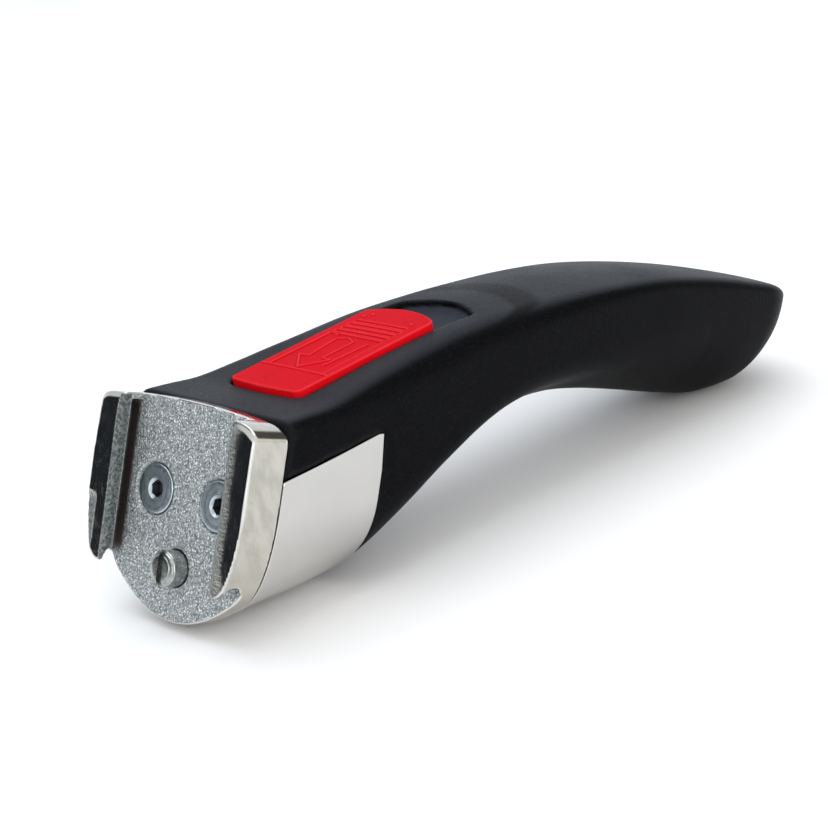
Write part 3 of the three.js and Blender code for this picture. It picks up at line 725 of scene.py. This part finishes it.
def mechanism_tools():
    """What the latch needs out of the grip's front.

    The chamber and the shaft are 0.2 to 0.6 mm larger than in the frame, because the remeshed grip has
    rounded inner corners and the carriage and the post stay clear of them.
    """
    ends = FOOT_REAR + PIN_TRAVEL + 1.0
    chamber = [(-10.2, -5.9), (-10.2, -13.6), (-4.4, -17.1), (4.4, -17.1), (10.2, -13.6), (10.2, -5.9)]
    shaft = [
        (0, -17.1), (ends, -17.1), (ends, -7.3), (36.5, -7.3), (36.5, 2.1), (39.3, 2.1), (39.3, 16.6),
        (19.2, 16.6), (19.2, 9), (0, 9),
    ]
    tools = [prism("tool", chamber, 0, ends, AXES_YZ), prism("tool", shaft, -4.6, 4.6, AXES_XZ)]
    tools.append(turned("tool", [(0, BUSH_BORE_R), (9.5, BUSH_BORE_R)], 0, PIN_Z, 48))
    for side in (-1, 1):
        tools.append(turned("tool", [(0, INSERT_BORE_R), (14, INSERT_BORE_R)], side * SCREW_Y, 0, 48))
        tools.append(turned("tool", [(10, ROD_HOLE_R), (22.7, ROD_HOLE_R)], side * ROD_Y, ROD_Z, 32))
    return tools


def cover_screw_matrix():
    """Carries a piece turned about x onto the cover screw's axis, pointing up into the grip."""
    place = Matrix.Translation((COVER_SCREW_X, 0, curve_at(BOTTOM_LINE, COVER_SCREW_X)))
    return place @ Matrix.Rotation(COVER_SCREW_TILT, 4, "Y") @ Matrix.Rotation(-math.pi / 2, 4, "Y")


def sloped_place(co):
    """Where points lie along the button's slope and square to it."""
    c, t = math.cos(SLOPE), math.sin(SLOPE)
    return co[:, 0] * c + co[:, 2] * t, co[:, 2] * c - co[:, 0] * t


def make_grip():
    ob = loft("grip", grip_stations(), n=28)
    seat = prism("tool", cover_side(GAP, FRONT - 5), -40, 40, AXES_XZ)
    core = loft("tool", [FRONT - 6] + list(np.arange(FRONT, 38, 1.0)), COVER_T + GAP)
    combine(seat, core)
    pocket = prism("tool", button_plan(**POCKET), POCKET_FLOOR, POCKET_FLOOR + 20, SLOPED)
    slot = box(24.2, 35.6, -2.9, 2.9, 12, 30)
    bore = turned("tool", [(-2, 2.9), (0.5, 2.9), (2, 1.75), (7.4, 1.75)], n=48, matrix=cover_screw_matrix())
    combine(ob, seat, pocket, slot, bore, *mechanism_tools())
    remesh(ob, GRIP_VOXEL, 4)
    co = points_of(ob)
    along, height = sloped_place(co)
    above = height - POCKET_FLOOR
    inside = smooth(above, 0.7, 0.3) * smooth(above, -1, -0.4)
    # the pocket's floor, which black_plastic paints lighter as painted light
    floor = inside * smooth(np.abs(co[:, 1]), 9.9, 9.4) * smooth(along, 22, 24) * smooth(along, 80, 78)
    store(ob, "floor", floor)
    # upward faces, which black_plastic paints lighter as a painted sheen
    facing_up = normals_of(ob) @ np.array((-math.sin(HEAD_TILT), 0, math.cos(HEAD_TILT)))
    store(ob, "top", smooth(facing_up, 0.78, 1.0) * (1 - inside))
    store(ob, "edge", edge_of(ob))
    return finish_piece(ob, "handle", ["handle_body"], black_plastic())


# ---------------------------------------------------------------------------------------------
# head casting
# ---------------------------------------------------------------------------------------------
def head_ring():
    """Outline of the casting in (y, z), with a squarer upper corner on the far side."""
    s = section(PLATE)
    s.update(half=HALF_WIDTH_HEAD, top=HEAD_TOP, crown=HEAD_CROWN, bottom=HEAD_BOTTOM, **HEAD_CORNER)
    near = ring(s, 28)
    s.update(FAR_CORNER)
    return np.where(near[:, :1] > 0, ring(s, 28), near)


def outline_distance(y, z, outline):
    """Distance of each point (y, z) from a closed outline."""
    return polyline_distance(y, z, np.concatenate([outline, outline[:1]]))


def head_block(outline):
    """The casting before anything is cut from it, with its upper front edge rounded over."""
    along = np.roll(outline, -1, 0) - np.roll(outline, 1, 0)
    along /= np.linalg.norm(along, axis=1)[:, None]
    inward = np.column_stack([along[:, 1], -along[:, 0]])
    inward *= np.sign(-(inward * (outline - (0, -3))).sum(1))[:, None]
    share = smooth(outline[:, 1], 13.6, 15.8)[:, None]  # rounded above this height only
    rings = []
    for t in (1, 0.97, 0.88, 0.72, 0.5, 0.25, 0):
        inset = TOP_EDGE_R * (1 - math.sqrt(1 - t * t))
        yz = outline + inward * inset * share
        rings.append(np.column_stack([np.full(len(yz), RAIL_FRONT + TOP_EDGE_R * (1 - t)), yz]))
    rings.append(np.column_stack([np.full(len(outline), PLATE), outline]))
    return skin("head_casting", rings)


def lip_tools():
    """What rounds the inner edge of each lip and the foot of each lip."""
    tools = []
    angles = np.radians(np.linspace(0, 90, 9))
    foot = [
        (14, -30), (14, -14.1), (LIP_INNER, -14.1), (15.2, -14.6), (15.5, -15.0), (15.95, -15.25),
        (16.5, -15.3), (17.2, -15.1), (17.8, -14.7), (18.5, -14.0), (19.3, -13.3), (30, -13.3), (30, -30),
    ]
    hollow = [
        (-4.7, -30), (-4.7, -14.7), (-4.6, -13.9), (-4.3, -13.3), (-3.7, -12.95), (-2.8, -12.85),
        (-1.9, -12.9), (-1.3, -13.15), (-0.85, -13.7), (-0.45, -14.6), (-0.1, -16), (0, -17.5), (0, -30),
    ]
    r = LIP_EDGE_R
    x, y = RAIL_FRONT + r, LIP_INNER + r
    edge = [(RAIL_FRONT - 1, LIP_INNER - 1), (RAIL_FRONT - 1, y)]
    edge += [(x - r * math.cos(a), y - r * math.sin(a)) for a in angles] + [(x, LIP_INNER - 1)]
    for side in (1, -1):
        tools.append(prism("tool", [(px, side * py) for px, py in edge], -30, 30))
        tools.append(prism("tool", [(side * py, pz) for py, pz in foot], RAIL_FRONT - 1, -4.0, AXES_YZ))
    tools.append(prism("tool", hollow, -30, 30, AXES_XZ))
    return tools


def make_head():
    outline = head_ring()
    ob = head_block(outline)
    mouth = box(RAIL_FRONT - 1, 0, -LIP_INNER, LIP_INNER, -30, 30)
    grooves = box(RAIL_FRONT + LIP, 0, -GROOVE_WALL, GROOVE_WALL, -30, GROOVE_TOP)
    tools = [mouth, grooves] + lip_tools()
    sink = [(-1, 5.5), (0, 5.5), (0.4, 5.1), (0.75, 5.1), (3.0, 2.75), (6, 2.75)]
    for side in (-1, 1):
        tools.append(turned("tool", sink, side * SCREW_Y, 0))
        tools.append(turned("tool", [(1.6, ROD_HOLE_R), (6, ROD_HOLE_R)], side * ROD_Y, ROD_Z, 32))
    tools.append(turned("tool", [(-1, PIN_R + 0.2), (6, PIN_R + 0.2)], 0, PIN_Z))
    combine(ob, *tools)
    remesh(ob, HEAD_VOXEL, 3)
    co = points_of(ob)
    x, y, z = co.T
    # polished: the outer faces and the front of the lips
    rim = smooth(outline_distance(y, z, outline), 0.8, 0.3) * smooth(x, 0.6, 1.0)
    rim = np.maximum(rim, smooth(outline_distance(y, z, outline), 0.45, 0.2))
    lip_front = smooth(x, -4.55, -4.85)
    polish = np.maximum(rim, lip_front)
    # dull and painted shade: the lips' inner edges are painted a darker dull colour and polished less, and
    # the worn foot of the far lip takes the same dull colour
    far, beside = y > 0, np.abs(y) - LIP_INNER
    lip = smooth(x, -3.0, -3.3) * (1 - rim)
    edge_shade = np.where(far, smooth(beside, 1.05, 0.8), smooth(beside, 3.6, -0.3) * 0.8)
    worn = smooth(y, 18.6, 19.1) * smooth(z, -2.2, -4.4) * lip_front
    dull_and_shade = np.maximum(edge_shade * lip, 0.9 * worn)
    polish = np.minimum(polish, 1 - np.where(far, 0.95, 0.75) * dull_and_shade)
    # painted shade in the grooves
    shade = smooth(x, -2.95, -2.6) * smooth(np.abs(y), 15.2, 16.4) * smooth(np.abs(y), 19.3, 18.9)
    shade *= smooth(z, 17.0, 14.8) * smooth(z, -15.5, -12) * (1 - rim)
    # cast unevenness, and fronts that are not quite flat
    rough = 1 - polish
    nrm = normals_of(ob)
    lumps = np.array([noise.noise(Vector(p) * 1.3) for p in co])
    co += nrm * (lumps * rough * 0.03)[:, None]
    front = smooth(x, -4.6, -5.2)
    sway = np.array([noise.noise(Vector(p) * 0.16) for p in co])
    roll = np.where(far, 0.012, 0.03) * np.clip(z - 12, 0, 5) ** 2
    co[:, 0] += front * (0.10 * sway + 0.10 * np.clip(y - 18.6, 0, 3) * smooth(z, -2.2, -4.4) + roll)
    set_points(ob, co)
    store(ob, "polish", polish)
    store(ob, "shade", shade)
    store(ob, "dull_and_shade", dull_and_shade)
    store(ob, "edge", edge_of(ob, 2))
    return finish_piece(ob, "handle", ["head_plate"], cast_metal())


# ---------------------------------------------------------------------------------------------
# belly cover
# ---------------------------------------------------------------------------------------------
def make_cover():
    outline = cover_side(0, FRONT)
    (rear, rear_z), (corner_x, corner_z), (front_x, front_z) = outline[2:]
    nx, nj = 54, 150  # quads along and round

    def edge_height(x):
        return lerp(front_z, corner_z, (x - front_x) / (corner_x - front_x))

    outer, inner = [], []
    for i in range(nx + 1):
        t = i / nx
        x = lerp(FRONT, rear, t)
        s = section(x)
        half = lower_half(s, edge_height(min(x, corner_x)), 40)
        path = resample(np.concatenate([half, half[:-1][::-1] * (-1, 1)]), nj)
        tangent = np.gradient(path, axis=0)
        tangent /= np.linalg.norm(tangent, axis=1)[:, None]
        inward = np.column_stack([tangent[:, 1], -tangent[:, 0]])
        lean = np.clip((path[:, 1] - rear_z) / (corner_z - rear_z), 0, 1) * (rear - corner_x)
        xs = FRONT + t * (rear - lean - FRONT)
        outer.append(np.column_stack([xs, path]))
        inner.append(np.column_stack([xs, path + inward * COVER_T]))
    m = nj + 1
    vertices = np.concatenate([np.concatenate(outer), np.concatenate(inner)])
    base = (nx + 1) * m
    faces = []
    for i in range(nx):
        for j in range(nj):
            a, b, c, d = i * m + j, i * m + j + 1, (i + 1) * m + j + 1, (i + 1) * m + j
            faces.append((a, b, c, d))
            faces.append((base + d, base + c, base + b, base + a))
    for i in range(nx):
        for j in (0, nj):
            a, b = i * m + j, (i + 1) * m + j
            faces.append((a, b, base + b, base + a))
    for j in range(nj):
        for i in (0, nx):
            a, b = i * m + j, i * m + j + 1
            faces.append((a, b, base + b, base + a))
    ob = new_object("belly_plate", vertices, faces)
    fix_normals(ob)
    hole = turned("tool", [(-2, 2.9), (0.35, 2.9), (2, 1.7), (3, 1.7)], n=64, matrix=cover_screw_matrix())
    bevel = ob.modifiers.new("bevel", "BEVEL")
    bevel.limit_method = "ANGLE"
    bevel.angle_limit = math.radians(50)
    bevel.width = 0.24
    bevel.segments = 3
    settle(ob)
    combine(ob, hole)
    return finish_piece(ob, "handle", ["belly_cover"], polished_steel(), angle=28)


# ---------------------------------------------------------------------------------------------
# screws and pin
# ---------------------------------------------------------------------------------------------
def arc(cx, cr, r, a0, a1, n=5):
    """(x, r) points on a small arc."""
    a = np.radians(np.linspace(a0, a1, n + 1))
    return [(cx + r * math.cos(t), cr + r * math.sin(t)) for t in a]


def hexagon(y, across, turn):
    """Corners (y, z) of a hexagon at the screws' height."""
    r = across / math.sqrt(3)
    angles = [turn + i * math.pi / 3 for i in range(6)]
    return [(y + r * math.cos(a), r * math.sin(a)) for a in angles]


def make_plate_screw(side, word):
    y = side * SCREW_Y
    face = [(0.25, r) for r in (0.01, 1.0, 1.6, 2.15, 2.6, 3.1, 3.6, 4.1)]
    rim = arc(0.5, 4.55, 0.25, 180, 90)
    shank = [(0.7, 4.8), (3.15, 2.35), (12.4, 2.35), (13, 1.75), (13, 0.01)]
    ob = turned("plate_screw_" + word + "_fine", face + rim + shank, y, 0, 96)
    combine(ob, turned("tool", [(0, 2.25), (0.25, 2.1), (0.72, 1.55)], y, 0, 48))
    combine(ob, prism("tool", hexagon(y, SOCKET_ACROSS, 0.35 * side), 0.2, 2.4, AXES_YZ))
    co = points_of(ob)
    # painted shade: the inside of the hex socket
    deep = smooth(np.hypot(co[:, 1] - y, co[:, 2]), 1.85, 1.72)
    store(ob, "shade", deep * smooth(co[:, 0], 0.6, 0.9) * smooth(co[:, 0], 4, 3))
    dark, pale = (0.47, 0.54, 0.59, 1), (0.60, 0.68, 0.72, 1)
    look = turned_metal("zinc_screw_" + word, y, 0, dark, pale, (0.24, 0.34), 1.7)
    return finish_piece(ob, "handle", ["plate_screw_" + word], look, angle=25)


def make_cover_screw():
    profile = [(0.15, 0.01), (0.15, 1.2), (0.15, 2.2)] + arc(0.35, 2.35, 0.2, 180, 90) + [
        (1.6, 1.4), (6.2, 1.4), (6.8, 0.8), (6.8, 0.01),
    ]
    ob = turned("cover_screw_fine", profile, n=64, matrix=cover_screw_matrix())
    slot = box(-0.7, 0.7, -3, 3, -0.4, 0.4)
    slot.data.transform(cover_screw_matrix())
    combine(ob, slot)
    look = plain_metal("zinc_cover_screw", (0.50, 0.54, 0.58, 1), (0.66, 0.70, 0.73, 1), (0.2, 0.34))
    return finish_piece(ob, "handle", ["cover_screw"], look, angle=25)


def make_pin():
    tip = PIN_TIP
    profile = [(tip, 0.01), (tip, 0.9), (tip, 1.7)]
    profile += arc(tip + 0.3, PIN_R - 1.2, 0.3, 180, 118)
    profile += [(tip + 0.28, PIN_R - 0.45)] + arc(tip + 1.0, PIN_R - 0.45, 0.45, 160, 90)
    shoulder = FOOT_FRONT - GAP
    profile += [(0, PIN_R), (shoulder, PIN_R), (shoulder, PIN_TAIL_R)]
    profile += [(FOOT_REAR, PIN_TAIL_R), (FOOT_REAR, 0.01)]
    ob = turned("pin_fine", profile, 0, PIN_Z, 96)
    combine(ob, box(tip - 1, tip + 1.5, -0.7, 0.7, PIN_Z - 5, PIN_Z + 5))
    dark, pale = (0.30, 0.32, 0.31, 1), (0.50, 0.52, 0.50, 1)
    look = turned_metal("steel_pin", 0, PIN_Z, dark, pale, (0.10, 0.24), 3.2)
    return finish_piece(ob, "latch", ["latch_pin"], look, angle=25)


# ---------------------------------------------------------------------------------------------
# release button
# ---------------------------------------------------------------------------------------------
def stroke(s, y, path):
    """1 on a polyline of (s, y) points, 0 away from it."""
    return smooth(polyline_distance(s, y, path), 2 * STROKE, STROKE / 2)


def button_relief(s, y):
    """Height of the relief on the button's top: a sunk panel with an arrow, lines, grooves and dots."""
    panel = smooth(s, 32.3, 32.7) * smooth(s, 50.0, 49.6) * smooth(np.abs(y), 7.3, 7.0)
    relief = -0.26 * panel
    arrow = [
        (33.2, 0.3), (38.4, 4.9), (38.6, 2.4), (47.6, 3.6), (48.8, 1.2), (47.4, -1.4), (38.6, -1.4),
        (38.4, -3.6), (33.2, 0.3),
    ]
    relief += 0.24 * stroke(s, y, arrow)
    relief += 0.24 * stroke(s, y, [(35.6, -4.4), (47.8, -5.1)])
    relief += 0.20 * stroke(s, y, [(31.9, -9.0), (31.9, 9.0)])
    for at in (51.3, 53.2, 55.1, 57.0):
        relief -= 0.34 * smooth(np.abs(s - at), 0.52, 0.22) * smooth(np.abs(y), 7.3, 6.8)
    for at in ((59.2, 6.6), (59.2, -6.6), (49.4, 5.2), (60.6, 5.4)):
        relief += 0.24 * smooth(np.hypot(s - at[0], y - at[1]), 0.55, 0.25)
    return relief


def make_button():
    bottom = POCKET_FLOOR + GAP
    ob = prism("button_cap", button_plan(**BUTTON), bottom, BUTTON_TOP)
    under = box(25.7, 46.3, -6.8, 6.8, bottom - 1, 11.5)
    combine(ob, under)
    upright = Matrix.Rotation(-math.pi / 2, 4, "Y")
    for s in BUTTON_SCREWS:
        upwards = Matrix.Translation((s, 0, 0)) @ upright
        combine(ob, turned("tool", [(-1, 1.05), (13.1, 1.05)], n=32, matrix=upwards))
    remesh(ob, BUTTON_VOXEL, 6)
    co = points_of(ob)
    s, y, h = co.T
    up = smooth(h, BUTTON_TOP - 0.45, BUTTON_TOP - 0.1)
    crown = 0.05 - 0.10 * (y / BUTTON["half"]) ** 2
    co[:, 2] += up * (button_relief(s, y) + crown)
    # the top face, which red_plastic paints darker than the flanks as painted shade
    store(ob, "top", up)
    set_points(ob, co)
    store(ob, "edge", edge_of(ob, 2))
    ob.data.transform(SLOPED)
    return finish_piece(ob, "release", ["release_button"], red_plastic())


# ---------------------------------------------------------------------------------------------
# assembly
# ---------------------------------------------------------------------------------------------
make_grip()
make_head()
make_cover()
make_plate_screw(1, "left")
make_plate_screw(-1, "right")
make_cover_screw()
make_pin()
make_button()

brass = plain_metal("brass", (0.48, 0.33, 0.12, 1), (0.68, 0.50, 0.20, 1), (0.22, 0.4))
rod_steel = plain_metal("steel_rod", (0.52, 0.52, 0.52, 1), (0.72, 0.72, 0.72, 1), (0.15, 0.3))
carriage_zinc = plain_metal("zinc_carriage", (0.40, 0.41, 0.41, 1), (0.58, 0.59, 0.58, 1), (0.32, 0.5))
spring_wire = plain_metal("spring_steel", (0.42, 0.42, 0.42, 1), (0.66, 0.66, 0.65, 1), (0.18, 0.34), 1.6)
dark = plain_metal("dark_plastic", (0.012, 0.012, 0.014, 1), (0.022, 0.022, 0.025, 1), (0.4, 0.55), 0.7, 0.0)
button_zinc = plain_metal("zinc_button_screw", (0.48, 0.52, 0.56, 1), (0.66, 0.70, 0.73, 1), (0.22, 0.36))
INNER = {
    "screw_insert_left": brass, "screw_insert_right": brass, "pin_bush": brass, "guide_rod_left": rod_steel,
    "guide_rod_right": rod_steel, "spring_rod": rod_steel, "rod_clip": rod_steel, "spring_washer": rod_steel,
    "rod_seat": carriage_zinc, "carriage": carriage_zinc, "return_spring": spring_wire, "drive_post": dark,
    "button_screw_front": button_zinc, "button_screw_rear": button_zinc,
}
for node, look in INNER.items():
    ob = frame["nodes"][node]
    ob.data.materials.clear()
    ob.data.materials.append(look)

spring = frame["nodes"]["return_spring"]
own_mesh(spring)


# ---------------------------------------------------------------------------------------------
# floor, light, camera
# ---------------------------------------------------------------------------------------------
def make_floor():
    """A pale round floor at height 0, in rings."""
    n = 96
    radii = [0.25, 0.5, 1.0, 2.0, 3.0, 4.0]
    vertices = [(0, 0, 0)]
    angles = [i * 2 * math.pi / n for i in range(n)]
    for r in radii:
        vertices += [(r * math.cos(a), r * math.sin(a), 0) for a in angles]
    faces = [(0, 1 + i, 1 + (i + 1) % n) for i in range(n)]
    for r in range(len(radii) - 1):
        for i in range(n):
            a, b = 1 + r * n + i, 1 + r * n + (i + 1) % n
            faces.append((a, a + n, b + n, b))
    ob = new_object("floor", vertices, faces)
    k = Look("pale_floor", Roughness=0.75, Specular_IOR_Level=0.2)
    shade = k.blend(k.noise(0.01, 2, 0.5), (0.90, 0.90, 0.905, 1), (0.93, 0.93, 0.93, 1))
    ob.data.materials.append(k.set(Base_Color=shade, Normal=k.bump(k.noise(0.3, 2, 0.5), 0.02, 0.0005)))


def area_light(name, location, size, power):
    """A soft round lamp that points at the origin."""
    data = bpy.data.lights.new(name, "AREA")
    data.shape = "DISK"
    data.size = size
    data.energy = power
    ob = bpy.data.objects.new(name, data)
    ob.location = location
    ob.rotation_mode = "QUATERNION"
    ob.rotation_quaternion = (-Vector(location)).to_track_quat("-Z", "Y")
    bpy.context.scene.collection.objects.link(ob)


def make_world():
    """Pale all round, warmer near and cooler beyond, with two soft dark patches as between lamps."""
    world = bpy.data.worlds.new("studio")
    bpy.context.scene.world = world
    world.use_nodes = True
    t = world.node_tree
    back = t.nodes["Background"]
    where = t.nodes.new("ShaderNodeTexCoord").outputs["Generated"]

    def share(direction, far, near):
        """1 towards a direction, 0 away from it, between two cosines."""
        dot = t.nodes.new("ShaderNodeVectorMath")
        dot.operation = "DOT_PRODUCT"
        t.links.new(where, dot.inputs[0])
        dot.inputs[1].default_value = Vector(direction).normalized()
        span = t.nodes.new("ShaderNodeMapRange")
        span.interpolation_type = "SMOOTHSTEP"
        span.inputs["From Min"].default_value = far
        span.inputs["From Max"].default_value = near
        t.links.new(dot.outputs["Value"], span.inputs["Value"])
        return span.outputs["Result"]

    def tint(factor, a, b):
        mix = t.nodes.new("ShaderNodeMix")
        mix.data_type = "RGBA"
        t.links.new(factor, mix.inputs["Factor"])
        if isinstance(a, tuple):
            mix.inputs[6].default_value = a
        else:
            t.links.new(a, mix.inputs[6])
        mix.inputs[7].default_value = b
        return mix.outputs[2]

    sky = tint(share((0, 1, 0.3), -0.5, 0.6), (1.0, 0.985, 0.96, 1), (0.94, 0.99, 1.05, 1))
    sky = tint(share((-0.74, 0.65, 0.16), 0.87, 0.975), sky, (0.024, 0.029, 0.037, 1))
    sky = tint(share((0.92, -0.12, 0.38), 0.90, 0.97), sky, (0.10, 0.10, 0.095, 1))
    t.links.new(sky, back.inputs["Color"])
    back.inputs["Strength"].default_value = 1.05


def make_camera():
    """The photograph's camera, placed in the head's frame."""
    data = bpy.data.cameras.new("camera")
    data.lens = 80
    data.sensor_width = 36
    data.clip_start = 0.01
    data.clip_end = 50
    ob = bpy.data.objects.new("camera", data)
    in_head = Matrix((
        (0.65838, -0.03169, -0.75203, -229.812 * MM),
        (-0.73860, 0.16490, -0.65360, -252.65 * MM),
        (0.14473, 0.98579, 0.08523, 50.627 * MM),
        (0, 0, 0, 1),
    ))
    ob.matrix_world = HEAD @ in_head
    bpy.context.scene.collection.objects.link(ob)
    bpy.context.scene.camera = ob


make_floor()
make_world()
area_light("overhead", (0.15, 0.25, 1.3), 1.3, 6)
area_light("side", (-0.7, -1.1, 0.5), 0.9, 4)
make_camera()
bpy.context.scene.view_settings.view_transform = "Standard"
